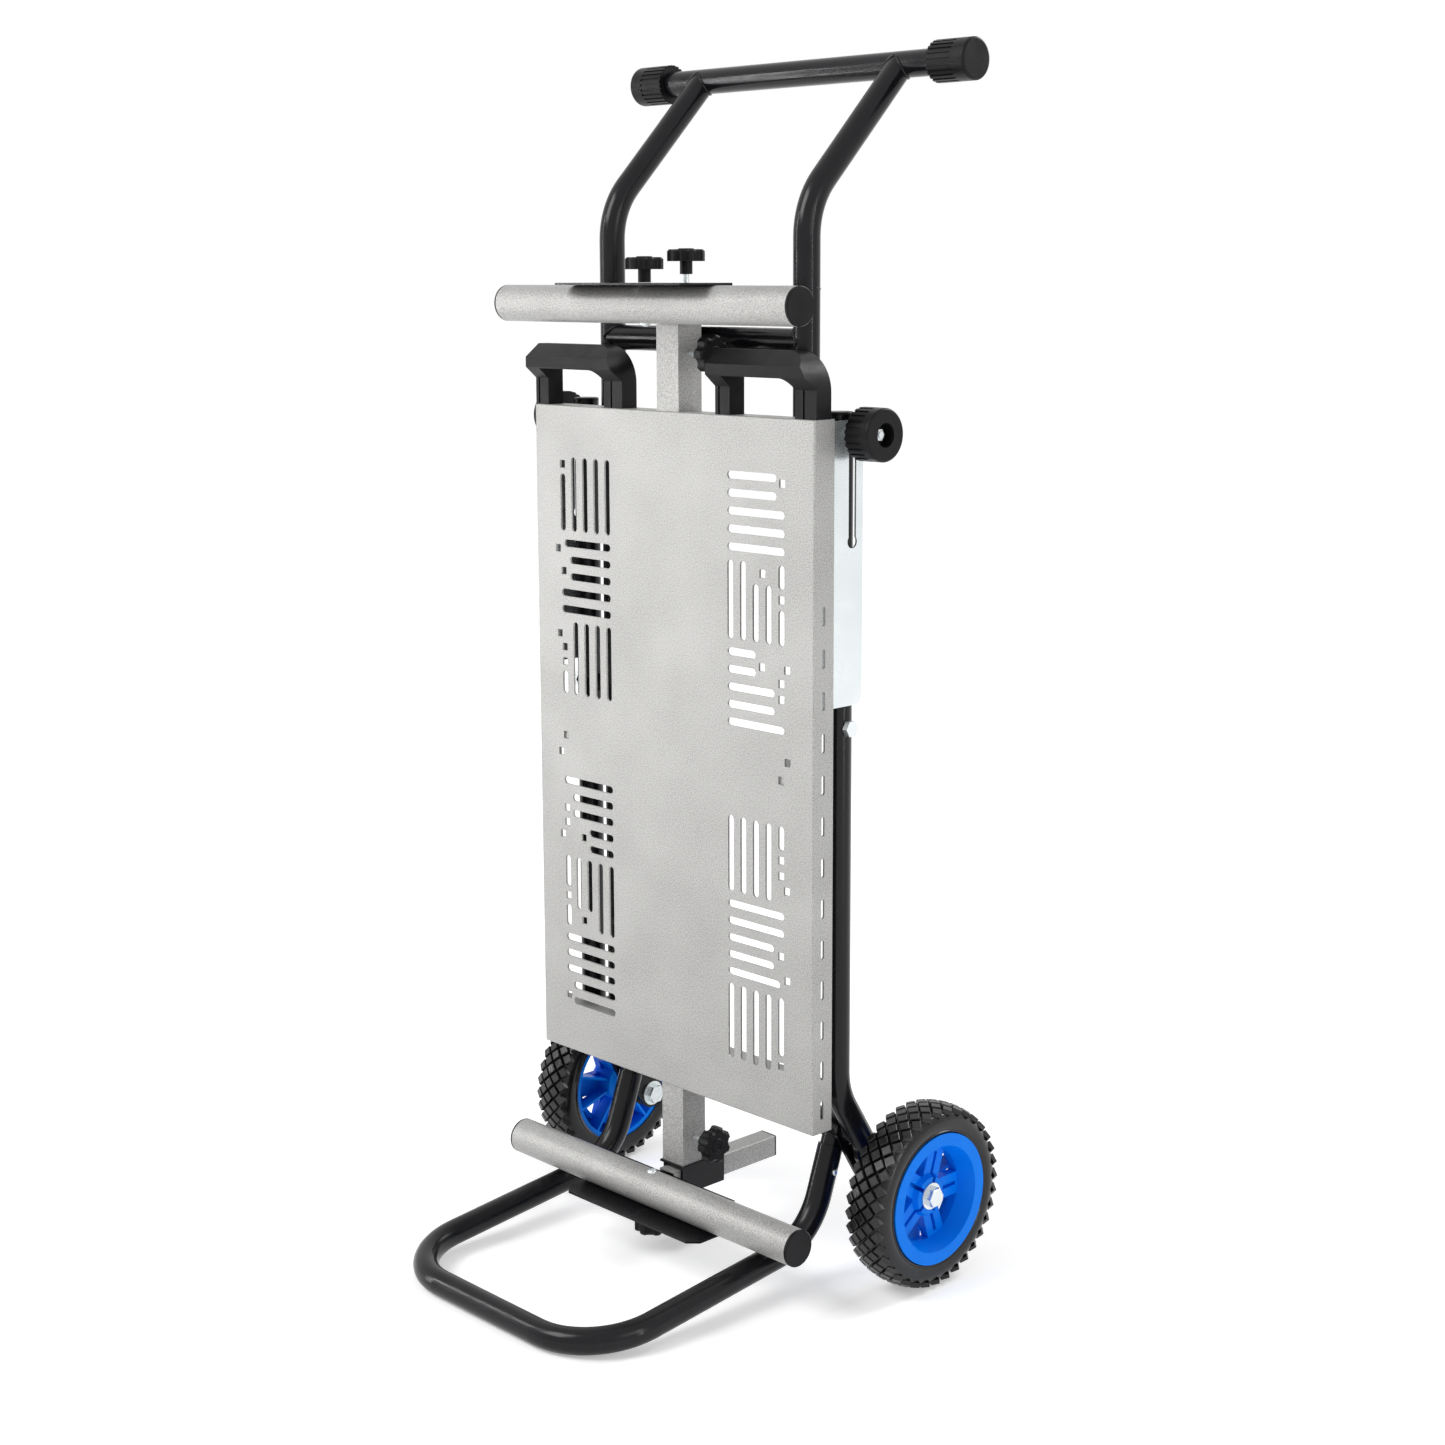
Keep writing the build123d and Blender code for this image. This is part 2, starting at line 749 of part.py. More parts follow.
# Bolts, spacers and nuts of the pivot where the two leg frames cross
leg_in = wheel_leg_side - tube_r
leg_out = wheel_leg_side + tube_r
arm_in = handle_side - tube_r
arm_out = handle_side + tube_r
bolts_along_x("pivot_bolts", frame_y, fold_pivot, arm_in - nut_height - washer, leg_out, leg_out)
rings_along_x("pivot_spacers", frame_y, fold_pivot, ((arm_out + face_play, leg_in),), spacer_size)
pivot_nut_start = arm_in - face_play - nut_height
pivot_nut_span = (pivot_nut_start, pivot_nut_start + nut_height)
rings_along_x("pivot_nuts", frame_y, fold_pivot, (pivot_nut_span,), bolt_head, 6)

# Hinge between the table's foot end and the handle frame
ear_out = arm_in - face_play
ear_in = ear_out - ear
with BuildPart() as hinge_ears:
    for side in (-1, 1):
        back = frame_y + ear_width / 2
        front = face_y + sheet
        with BuildSketch(side_plane(side * ear_in, 0, hinge_height)):
            with BuildLine():
                Polyline(
                    (frame_y, ear_width / 2),
                    (front, ear_width / 2),
                    (front, -table_hinge + sheet),
                    (frame_y, -table_hinge + sheet),
                )
                ThreePointArc((frame_y, -table_hinge + sheet), (back, 0), (frame_y, ear_width / 2))
            make_face()
            with Locations((frame_y, 0)):
                Circle(pivot_bolt / 2 + bolt_play, mode=Mode.SUBTRACT)
        extrude(amount=side * ear)
        with BuildSketch(side_plane(side * ear_out, front, hinge_height)):
            with Locations((ear / 2, (ear_width / 2 + sheet - table_hinge) / 2)):
                Rectangle(ear, ear_width / 2 + table_hinge - sheet)
        extrude(amount=-side * ear_width)
keep("hinge_ears", hinge_ears)
hinge_head = arm_out + face_play
bolts_along_x("hinge_bolts", frame_y, hinge_height, ear_in - nut_height, hinge_head, hinge_head)
rings_along_x("hinge_nuts", frame_y, hinge_height, ((ear_in - nut_height, ear_in),), bolt_head, 6)


def vent_slots():
    """The table's slots left of its middle, as (x, z from the middle, width, height)."""
    block = (slots_in_block - 1) * slot_pitch + slot_width
    left = -blocks_to_middle - block
    upper_top = groups_to_middle + 3 * block + 2 * block_gap
    shapes = []
    for top, lane_shares, square_shares in (
        (upper_top, upper_lane_shares, upper_square_shares),
        (-groups_to_middle, lower_lane_shares, lower_square_shares),
    ):
        for number, ((direction, lanes), squares) in enumerate(zip(lane_shares, square_shares)):
            block_top = top - number * (block + block_gap)
            for lane, begin, end in lanes:
                across = slot_width / 2 + lane * slot_pitch
                along = block * (begin + end) / 2
                length = block * (end - begin)
                if direction == "upright":
                    shapes.append((left + across, block_top - along, slot_width, length))
                else:
                    shapes.append((left + along, block_top - across, length, slot_width))
            for column, row in squares:
                shapes.append((left + block * column, block_top - block * row, vent_square, vent_square))
    return shapes


# Table: a folded steel tray with groups of slots in its face and short slots in its long flanges
with BuildPart() as table_top_piece:
    with BuildSketch(back_plane(0, face_y, table_middle)):
        Rectangle(table_width, table_length)
    extrude(amount=flange_depth)
    fillet(table_top_piece.faces().sort_by(Axis.Y)[0].edges(), table_corner / 2)
    with BuildSketch(back_plane(0, face_y + sheet, table_middle)):
        Rectangle(table_width - 2 * sheet, table_length - 2 * sheet)
    extrude(amount=flange_depth, mode=Mode.SUBTRACT)
    with BuildSketch(up_plane(0, spine_y, table_foot - overrun)):
        Rectangle(spine_size + 2 * face_play, spine_size)
    extrude(amount=table_length + 2 * overrun, mode=Mode.SUBTRACT)
    with BuildSketch(Plane(origin=(0, face_y - overrun, table_middle), x_dir=(1, 0, 0), z_dir=(0, -1, 0))):
        for turn in (1, -1):
            for x, z, wide, tall in vent_slots():
                with Locations((turn * x, turn * z)):
                    if wide == tall:
                        Rectangle(wide, tall)
                    elif wide > tall:
                        SlotOverall(wide, tall)
                    else:
                        SlotOverall(tall, wide, rotation=90)
    extrude(amount=-(sheet + 2 * overrun), mode=Mode.SUBTRACT)
    edge_run = (edge_slot_count - 1) * edge_slot_pitch
    edge_z = table_foot + edge_slot_first + edge_run / 2
    with BuildSketch(side_plane(-table_width / 2 - overrun, face_y + flange_depth / 2, edge_z)):
        with GridLocations(edge_slot_pitch, edge_slot_pitch, 1, edge_slot_count):
            SlotOverall(edge_slot_length, edge_slot_width, rotation=90)
    extrude(amount=table_width + 2 * overrun, mode=Mode.SUBTRACT)
keep("table_top", table_top_piece)

# Spine: a square tube through the whole table, open at both ends
with BuildPart() as spine:
    with BuildSketch(up_plane(0, spine_y, table_middle - spine_half)):
        Rectangle(spine_size, spine_size)
        Rectangle(spine_size - 2 * spine_wall, spine_size - 2 * spine_wall, mode=Mode.SUBTRACT)
    extrude(amount=2 * spine_half)
    for end in (-1, 1):
        knob_z = table_middle + end * (spine_half - arm_knob_inset)
        with BuildSketch(side_plane(spine_size / 2 - spine_wall, spine_y, knob_z)):
            Circle(stud / 2 + bolt_play)
        extrude(amount=spine_wall, mode=Mode.SUBTRACT)
keep("spine", spine)

# Channels between the spine and the long flanges
with BuildPart() as cross_channels:
    first = table_foot + channel_inset
    last = table_top - channel_inset
    channel_start = spine_size / 2
    channel_end = table_width / 2 - sheet - side_bracket
    outer = end_channel_height
    for height, tall in ((first, outer), (table_middle, channel_height), (last, outer)):
        for side in (-1, 1):
            with BuildSketch(side_plane(side * channel_start, face_y + sheet, height)):
                with Locations((flange_depth / 2 - sheet, 0)):
                    Rectangle(flange_depth - 2 * sheet, tall)
                    with Locations((channel_wall, 0)):
                        Rectangle(flange_depth - 2 * sheet, tall - 2 * channel_wall, mode=Mode.SUBTRACT)
            extrude(amount=side * (channel_end - channel_start))
keep("cross_channels", cross_channels)

# Side brackets: plated plates inside the long flanges, with the slot that the lock pins run in
with BuildPart() as side_brackets:
    bracket_top = table_top - sheet
    bracket_z = bracket_top - side_bracket_length / 2
    bracket_y = (face_y + sheet + frame_y + side_bracket_edge) / 2
    bracket_depth = frame_y + side_bracket_edge - face_y - sheet
    for side in (-1, 1):
        with BuildSketch(side_plane(side * (table_width / 2 - sheet), bracket_y, bracket_z)):
            Rectangle(bracket_depth, side_bracket_length)
            fillet(vertices().group_by(Axis.X)[-1].sort_by(Axis.Y)[0], side_bracket_corner)
            with Locations((frame_y - bracket_y, lock_height - lock_travel / 2 - bracket_z)):
                SlotCenterToCenter(lock_travel, lock_slot, rotation=90, mode=Mode.SUBTRACT)
            with Locations((frame_y - bracket_y, lock_height - lock_travel - bracket_z)):
                Circle(lock_hole / 2, mode=Mode.SUBTRACT)
        extrude(amount=-side * side_bracket)
keep("side_brackets", side_brackets)


def grab_handle(centre):
    """A moulded grab handle: two legs and a grip that leans forward, round at its right end only."""
    half = grab_length / 2
    left = -half + grab_left_leg
    right = half - grab_right_leg
    with BuildPart() as piece:
        with BuildSketch(back_plane(centre, face_y - grab_ahead, table_top)):
            with BuildLine():
                Polyline(
                    (half - grab_round, -grab_height),
                    (-half, -grab_height),
                    (-half, 0),
                    (left, 0),
                    (left, -grab_opening),
                    (right - grab_inner_round, -grab_opening),
                )
                RadiusArc(
                    (right - grab_inner_round, -grab_opening),
                    (right, -grab_opening + grab_inner_round),
                    -grab_inner_round,
                )
                Polyline(
                    (right, -grab_opening + grab_inner_round),
                    (right, 0),
                    (half, 0),
                    (half, -grab_height + grab_round),
                )
                RadiusArc(
                    (half, -grab_height + grab_round),
                    (half - grab_round, -grab_height),
                    grab_round,
                )
            make_face()
        extrude(amount=grab_ahead + grab_back)
        with BuildSketch(side_plane(centre - half, face_y, table_top)):
            with BuildLine():
                Polyline(
                    (grab_front, 0),
                    (grab_front, grab_slant_start),
                    (-grab_ahead, grab_slant_end),
                    (-grab_ahead, grab_slant_end + grab_nose),
                    (grab_back - grab_top, grab_height),
                    (grab_back - grab_edge, grab_height),
                    (grab_back, grab_height - grab_edge),
                    (grab_back, 0),
                    close=True,
                )
            make_face()
        extrude(amount=grab_length, mode=Mode.INTERSECT)
        with BuildSketch(back_plane(centre, face_y + grab_front, table_top)):
            for place in ((-half + left) / 2 - 2 * grab_seam, right + grab_right_leg / 2 - grab_seam):
                with Locations((place, -grab_slant_start / 2)):
                    Rectangle(grab_seam, grab_slant_start + 2 * grab_seam)
        extrude(amount=grab_seam_depth, mode=Mode.SUBTRACT)
    return piece


with BuildPart() as grab_handles:
    for side in (-1, 1):
        add(grab_handle(side * grab_centre).part)
keep("grab_handles", grab_handles)


def star_knob(plane, gap):
    """A lobed hand knob on a stem, standing a given gap above the surface that its plane lies on."""
    radius = knob / 2
    dent = knob * knob_lobe_share
    with BuildPart() as piece:
        with BuildSketch(plane.offset(gap)):
            Circle(knob_stem / 2)
        extrude(amount=knob_stem_length)
        with BuildSketch(plane.offset(gap + knob_stem_length)):
            Circle(radius)
            with PolarLocations(radius + dent / 2, knob_lobes):
                Circle(dent, mode=Mode.SUBTRACT)
        extrude(amount=knob_thick)
        chamfer(piece.faces().sort_by(Axis(plane.origin, plane.z_dir))[-1].edges(), knob_thick / 6)
    return piece


def stud_of(plane, depth, gap):
    """The threaded stud between a knob's stem and the wall that it screws into."""
    with BuildPart() as piece:
        with BuildSketch(plane.offset(-depth)):
            Circle(stud / 2)
        extrude(amount=depth + gap)
    return piece


def support_end(word, end):
    """Everything that rides on one extension arm, above the table for end 1 and below it for end -1."""

    def z_at(out):
        """Height of a point a given distance out from the table's end."""
        return table_middle + end * (table_length / 2 + out)

    spine_end = spine_overhang
    plate_in = spine_end + face_play
    sleeve_size = post_size + 2 * (sleeve_play + sleeve_wall)
    post_out = plate_in + head_plate + sleeve_size / 2
    bar_out = post_out + post_shift
    bar_y = face_y - support_front
    bar_r = support_bar / 2

    # Inner arm
    arm_size = spine_size - 2 * spine_wall - 2 * arm_play
    with BuildPart() as arm:
        with BuildSketch(up_plane(0, spine_y, z_at(plate_in), -end)):
            Rectangle(arm_size, arm_size)
            Rectangle(arm_size - 2 * arm_wall, arm_size - 2 * arm_wall, mode=Mode.SUBTRACT)
        extrude(amount=arm_length)
    keep(f"{word}_arm", arm)

    # Head: an end plate on the arm and the sleeve that the post slides in
    with BuildPart() as head:
        plate_size = spine_size + 2 * head_plate_margin
        with BuildSketch(up_plane(0, spine_y, z_at(plate_in), end)):
            Rectangle(plate_size, plate_size)
        extrude(amount=head_plate)
        with BuildSketch(back_plane(0, face_y + sleeve_front, z_at(post_out))):
            Rectangle(sleeve_size, sleeve_size)
        extrude(amount=sleeve_back - sleeve_front)
        with BuildSketch(back_plane(0, face_y + sleeve_front, z_at(post_out))):
            Rectangle(post_size + 2 * sleeve_play, post_size + 2 * sleeve_play)
        extrude(amount=sleeve_back - sleeve_front, mode=Mode.SUBTRACT)
        sleeve_out = z_at(post_out + sleeve_size / 2)
        with BuildSketch(up_plane(0, face_y + sleeve_knob_back, sleeve_out, -end)):
            Circle(stud / 2 + bolt_play)
        extrude(amount=sleeve_wall, mode=Mode.SUBTRACT)
    keep(f"{word}_head", head)

    # Post, with a plug in its back end
    post_front = bar_y + bar_r + plug_play + support_plate
    with BuildPart() as post:
        with BuildSketch(back_plane(0, post_front, z_at(post_out))):
            Rectangle(post_size, post_size)
            fillet(vertices(), post_wall)
            Rectangle(post_size - 2 * post_wall, post_size - 2 * post_wall, mode=Mode.SUBTRACT)
        extrude(amount=face_y + post_back - post_front)
    keep(f"{word}_post", post)
    with BuildPart() as plug:
        with BuildSketch(back_plane(0, face_y + post_back, z_at(post_out))):
            Rectangle(post_size, post_size)
            fillet(vertices(), post_wall)
        extrude(amount=post_plug)
    keep(f"{word}_post_plug", plug)

    # Angle plate that holds the support bar
    plate_out = bar_out + bar_r + plug_play
    with BuildPart() as plate:
        plate_back = post_front
        plate_front = bar_y - support_plate_front
        middle = (plate_back + plate_front) / 2
        with BuildSketch(up_plane(0, middle, z_at(plate_out), end)):
            Rectangle(2 * support_plate_reach, plate_back - plate_front)
            chamfer(vertices().group_by(Axis.Y)[0 if end > 0 else -1], support_plate_corner)
            with Locations((0, end * (bar_y - bar_r - middle))):
                Rectangle(support_plate_slot, support_plate_slot_length, mode=Mode.SUBTRACT)
        extrude(amount=support_plate)
        with BuildSketch(up_plane(0, plate_back - support_plate / 2, z_at(plate_out + support_plate), -end)):
            Rectangle(2 * support_plate_reach, support_plate)
        extrude(amount=support_plate_drop)
    keep(f"{word}_support_plate", plate)

    # Support bar and its end caps
    bar_z = z_at(bar_out)
    with BuildPart() as bar:
        bar_half = support_bar_reach - support_cap
        with BuildSketch(side_plane(-bar_half, bar_y, bar_z)):
            Circle(bar_r)
            Circle(bar_r - support_bar_wall, mode=Mode.SUBTRACT)
        extrude(amount=2 * bar_half)
    keep(f"{word}_support_bar", bar)
    with BuildPart() as caps:
        for side in (-1, 1):
            with BuildSketch(side_plane(side * bar_half, bar_y, bar_z)):
                Circle(bar_r)
            extrude(amount=side * support_cap)
            with BuildSketch(side_plane(side * bar_half, bar_y, bar_z)):
                Circle(bar_r - support_bar_wall - plug_play)
            extrude(amount=-side * support_cap_plug)
        chamfer(caps.faces().sort_by(Axis.X)[-1].edges(), support_cap / 3)
        chamfer(caps.faces().sort_by(Axis.X)[0].edges(), support_cap / 3)
    keep(f"{word}_support_caps", caps)

    # Clamp knobs and their studs
    arm_knob_plane = side_plane(spine_size / 2, spine_y, table_middle + end * (spine_half - arm_knob_inset))
    keep(f"{word}_arm_knob", star_knob(arm_knob_plane, arm_knob_gap))
    keep(f"{word}_arm_stud", stud_of(arm_knob_plane, spine_wall, arm_knob_gap))
    sleeve_plane = up_plane(0, face_y + sleeve_knob_back, sleeve_out, end)
    keep(f"{word}_sleeve_knob", star_knob(sleeve_plane, sleeve_knob_gap))
    keep(f"{word}_sleeve_stud", stud_of(sleeve_plane, sleeve_wall, sleeve_knob_gap))
    bar_knob_plane = up_plane(0, bar_y, z_at(plate_out + support_plate), end)
    keep(f"{word}_bar_knob", star_knob(bar_knob_plane, face_play))


support_end("upper", 1)
support_end("lower", -1)
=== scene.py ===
# %% [markdown]
# # A folding saw stand, finished for the camera
#
# The stand comes from CAD as plain solids: a slotted steel table, bent tube legs, two wheels and
# the sliding work supports. Blender's job is the surface that a buyer sees: powder coat, plated
# bolts, moulded plastic and rubber with a real tread. The solids stay where they are, and each new
# piece rides on the body that carries it.

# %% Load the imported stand
import json
import math

import bmesh
import bpy
from mathutils import Matrix, Quaternion, Vector


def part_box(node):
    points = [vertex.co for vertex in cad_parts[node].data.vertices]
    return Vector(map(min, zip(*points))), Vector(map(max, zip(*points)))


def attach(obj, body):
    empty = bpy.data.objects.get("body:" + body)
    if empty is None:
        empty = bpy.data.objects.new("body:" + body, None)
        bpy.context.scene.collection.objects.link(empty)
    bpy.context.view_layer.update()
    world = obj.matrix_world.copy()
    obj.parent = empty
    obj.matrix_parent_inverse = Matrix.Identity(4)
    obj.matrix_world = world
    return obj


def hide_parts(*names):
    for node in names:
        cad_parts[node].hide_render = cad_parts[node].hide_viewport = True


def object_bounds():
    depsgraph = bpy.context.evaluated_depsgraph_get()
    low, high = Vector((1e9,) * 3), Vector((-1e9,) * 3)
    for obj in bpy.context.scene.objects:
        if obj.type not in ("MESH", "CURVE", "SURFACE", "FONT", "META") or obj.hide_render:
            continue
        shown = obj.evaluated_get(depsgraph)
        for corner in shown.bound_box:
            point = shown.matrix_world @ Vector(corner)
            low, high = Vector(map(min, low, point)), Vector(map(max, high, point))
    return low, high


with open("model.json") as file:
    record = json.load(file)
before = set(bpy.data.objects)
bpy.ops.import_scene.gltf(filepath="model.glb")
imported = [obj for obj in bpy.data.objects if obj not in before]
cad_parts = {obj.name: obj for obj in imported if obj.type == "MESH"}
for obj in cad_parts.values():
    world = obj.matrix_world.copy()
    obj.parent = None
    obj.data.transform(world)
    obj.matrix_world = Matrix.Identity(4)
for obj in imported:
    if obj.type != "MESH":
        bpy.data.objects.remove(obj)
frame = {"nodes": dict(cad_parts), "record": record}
cad_low, cad_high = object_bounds()
mm = 0.001
print("the CAD box measures", [round(high - low, 4) for low, high in zip(cad_low, cad_high)], "m")

# %% [markdown]
# The photograph was taken from the right, a little below the top of the stand, with a mild
# telephoto lens. A camera here needs three things: where it stands, where it looks and how wide it
# sees. The place and the angles below come from fitting the stand's own corners to the picture. The
# small vertical shift is the lens's rise, which keeps the uprights almost parallel.

# %% Camera
yaw = math.radians(45.93)
pitch = math.radians(9.57)
roll = math.radians(-0.19)
right_of_middle = 1.602
before_table = 1.478
above_floor = 0.963

camera_data = bpy.data.cameras.new("photo_camera")
camera_data.sensor_width = 36
camera_data.lens = 57.43
camera_data.shift_y = -0.0433
camera = bpy.data.objects.new("photo_camera", camera_data)
bpy.context.scene.collection.objects.link(camera)
bpy.context.scene.camera = camera

ahead = Vector((
    -math.sin(yaw) * math.cos(pitch), math.cos(yaw) * math.cos(pitch), -math.sin(pitch),
))
table_face_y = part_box("table_top")[0].y
camera.rotation_mode = "QUATERNION"
camera.rotation_quaternion = ahead.to_track_quat("-Z", "Y") @ Quaternion((0, 0, 1), roll)
camera.location = (right_of_middle, table_face_y - before_table, above_floor)
print("the camera stands", round(camera.location.length, 2), "m from the stand's foot")

# %% [markdown]
# The background, the floor and every material in Blender are small circuits of nodes. Three classes
# keep the circuits short to write. A `Signal` is one wire, and plain Python + and * on it add Math
# nodes. A `Board` is a circuit, and adds any node by its type, its settings and its inputs. A
# `Finish` is the board of one material, with the few moves that the finishes below have in common.

# %% A wire and a circuit board


class Signal:
    """A number on a wire of a circuit, which understands + and *."""

    def __init__(self, board, socket):
        self.board = board
        self.socket = socket

    def __add__(self, other):
        return self.board.math("ADD", self, other)

    def __mul__(self, other):
        return self.board.math("MULTIPLY", self, other)

    __radd__ = __add__
    __rmul__ = __mul__


class Board:
    """A circuit of nodes, with one method that adds any node to it."""

    def __init__(self, tree):
        self.tree = tree

    def feed(self, socket, value):
        """Links a signal to a socket, or sets a plain value on it."""
        if isinstance(value, Signal):
            self.tree.links.new(value.socket, socket)
        else:
            socket.default_value = value

    def add(self, kind, settings=None, inputs=None, output=0):
        """Adds a node, sets it up, feeds its inputs and returns one of its outputs."""
        node = self.tree.nodes.new(kind)
        for name, value in (settings or {}).items():
            setattr(node, name, value)
        for name, value in (inputs or {}).items():
            self.feed(node.inputs[name], value)
        return Signal(self, node.outputs[output])

    def math(self, operation, first, second):
        """A Math node on two numbers."""
        return self.add("ShaderNodeMath", {"operation": operation}, {0: first, 1: second})


# %% [markdown]
# Noise is the start of almost every finish. Blender's noise keeps mostly between 0.3 and 0.7, so a
# `ramp` first stretches it to the range that a colour or a roughness needs.

# %% A material


class Finish(Board):
    """One material, whose keywords set the sockets of its Principled shader."""

    def __init__(self, name, **sockets):
        self.material = bpy.data.materials.new(name)
        self.material.use_nodes = True
        super().__init__(self.material.node_tree)
        self.shader = self.tree.nodes["Principled BSDF"]
        for socket, value in sockets.items():
            self.set(socket.replace("_", " "), value)
        self.place = self.add("ShaderNodeTexCoord", output="Object")

    def set(self, socket, value):
        """Feeds a socket of the shader."""
        self.feed(self.shader.inputs[socket], value)

    def noise(self, per_metre, detail):
        """Clouds, with a given number of them to the metre."""
        inputs = {"Vector": self.place, "Scale": per_metre, "Detail": detail}
        return self.add("ShaderNodeTexNoise", inputs=inputs)

    def ramp(self, signal, to_low, to_high, low=0.3, high=0.7, curve="LINEAR"):
        """Stretches a signal from one range to another, and stops at the ends."""
        return self.add("ShaderNodeMapRange", {"interpolation_type": curve}, {
            "Value": signal, "From Min": low, "From Max": high, "To Min": to_low, "To Max": to_high,
        })

    def blend(self, share, first, second):
        """A colour between two colours."""
        inputs = {0: share, 6: first, 7: second}
        return self.add("ShaderNodeMix", {"data_type": "RGBA"}, inputs, output=2)

    def mottle(self, cloud, colours, roughness, low=0.3):
        """Varies the colour and the roughness together with one cloud."""
        self.set("Base Color", self.blend(cloud, *colours))
        self.set("Roughness", self.ramp(cloud, *roughness, low=low))

    def bumps(self, height, depth):
        """Small relief of a given depth in metres."""
        relief = self.add("ShaderNodeBump", inputs={"Height": height, "Distance": depth})
        self.set("Normal", relief)

    def report(self):
        print(self.material.name, "is a circuit of", len(self.tree.nodes), "nodes")


# %% [markdown]
# The picture is a plain product shot: white all round and soft light from large panels. The world
# gives the even part of that light. It is white for the camera and for mirror and glass rays, so
# that plated parts show the same white room. For the light that it casts it is less than half as
# bright, which leaves the lamps something to shape.

# %% World
scene = bpy.context.scene
scene.view_settings.view_transform = "Standard"
world = bpy.data.worlds.new("studio")
scene.world = world
world.use_nodes = True

even_light = 0.4
sky = Board(world.node_tree)
camera_ray, glass_ray, mirror_ray = (
    sky.add("ShaderNodeLightPath", output=f"Is {kind} Ray")
    for kind in ("Camera", "Transmission", "Glossy")
)
seen = sky.math("MAXIMUM", sky.math("MAXIMUM", camera_ray, glass_ray), mirror_ray)
backdrop = sky.tree.nodes["Background"].inputs
sky.feed(backdrop["Color"], (1, 1, 1, 1))
sky.feed(backdrop["Strength"], (1 - even_light) * seen + even_light)
print("the room is white to look at, and lights the stand at a strength of", even_light)

# %% [markdown]
# Three panels shape the object. The key panel is high on the camera's left and lights the table's
# face, the fill panel softens the side of the table and the wheel, and the back panel lifts the far
# edges. Two tall strips, as narrow as a hand, are there for the gloss black tubes: a round tube
# squeezes their reflection into the thin white lines that tell the eye the tube is shiny.

# %% Lamps
middle = (cad_low + cad_high) / 2


def panel(name, place, size, watts):
    """An area lamp of a given width and height that looks at the middle of the stand."""
    lamp = bpy.data.lights.new(name, "AREA")
    lamp.shape = "RECTANGLE"
    lamp.size, lamp.size_y = size
    lamp.energy = watts
    holder = bpy.data.objects.new(name, lamp)
    holder.location = place
    holder.rotation_mode = "QUATERNION"
    holder.rotation_quaternion = (middle - Vector(place)).to_track_quat("-Z", "Y")
    scene.collection.objects.link(holder)
    print(name, "gives", watts, "W")


panel("key_panel", place=(-0.9, -2.3, 2.8), size=(1.6, 1.6), watts=60)
panel("fill_panel", place=(3.0, -0.4, 1.7), size=(1.2, 1.2), watts=7)
panel("back_panel", place=(0.6, 2.4, 2.2), size=(1.2, 1.2), watts=40)
panel("left_strip", place=(-1.6, -1.3, 0.9), size=(0.05, 1.9), watts=11)
panel("right_strip", place=(2.3, 0.15, 0.8), size=(0.05, 1.9), watts=7)

# %% [markdown]
# A floor catches the soft shadow that sets the stand on the ground. It is a plain white sheet,
# large enough to reach the horizon. The lamps reach only its middle, so it glows a little by
# itself, and more with distance: that is what makes the white run on without an edge into the
# background.

# %% Floor
floor_mesh = bpy.data.meshes.new("floor")
sheet = bmesh.new()
bmesh.ops.create_grid(sheet, x_segments=1, y_segments=1, size=40)
sheet.to_mesh(floor_mesh)
sheet.free()
floor = bpy.data.objects.new("floor", floor_mesh)
floor.location.z = min(0, cad_low.z)
scene.collection.objects.link(floor)

lit_reach, far_reach = 0.6, 3.5
near_glow, far_glow = 0.33, 0.66
floor_paint = Finish(
    "floor_paint", Base_Color=(0.96, 0.96, 0.96, 1), Roughness=0.9, Specular_IOR_Level=0,
    Emission_Strength=1,
)
distance = floor_paint.add(
    "ShaderNodeVectorMath", {"operation": "LENGTH"}, {0: floor_paint.place}, output="Value"
)
glow = floor_paint.ramp(
    distance, near_glow, far_glow, low=lit_reach, high=far_reach, curve="SMOOTHSTEP"
)
floor_paint.set("Emission Color", glow)
floor_mesh.materials.append(floor_paint.material)
floor_paint.report()

# %% [markdown]
# ## Finishes
#
# The table, the posts and the work supports have a light grey powder coat with metal flakes in it.
# From a step away it reads as fine grain: each flake catches the light a little differently. Noise
# of about a millimetre varies the colour, the roughness and the relief, and a wider cloud keeps the
# big flat face alive.

# %% Grey powder coat
dark_grey, light_grey = (0.25, 0.247, 0.24, 1), (0.5, 0.496, 0.486, 1)
grey_coat = Finish("grey_powder_coat", Metallic=0.35, Specular_IOR_Level=0.3)
flakes = grey_coat.noise(per_metre=850, detail=1.5)
clouds = grey_coat.noise(per_metre=14, detail=3)
tone = grey_coat.ramp(flakes, -0.5, 0.5) + grey_coat.ramp(clouds, 0.4, 0.6)
grey_coat.set("Base Color", grey_coat.blend(tone, dark_grey, light_grey))
grey_coat.set("Roughness", grey_coat.ramp(flakes, 0.34, 0.5))
grey_coat.bumps(flakes, 0.12 * mm)
grey_coat.report()

# %% [markdown]
# The tube frames are gloss black. Powder that melts on a tube leaves a faint orange peel, a few
# millimetres across, which breaks up long reflections.

# %% Black gloss powder coat
deep_black, soft_black = (0.004, 0.004, 0.005, 1), (0.008, 0.008, 0.01, 1)
black_coat = Finish("black_gloss_coat", Specular_IOR_Level=0.24)
peel = black_coat.noise(per_metre=420, detail=1.5)
handling = black_coat.noise(per_metre=35, detail=4)
black_coat.mottle(handling, (deep_black, soft_black), roughness=(0.15, 0.26), low=0.35)
black_coat.bumps(peel, 0.03 * mm)
black_coat.report()

# %% [markdown]
# Moulded knobs, grips and caps are satin black with a fine spark-eroded grain. Handling leaves
# patches on them that are a shade lighter and duller.

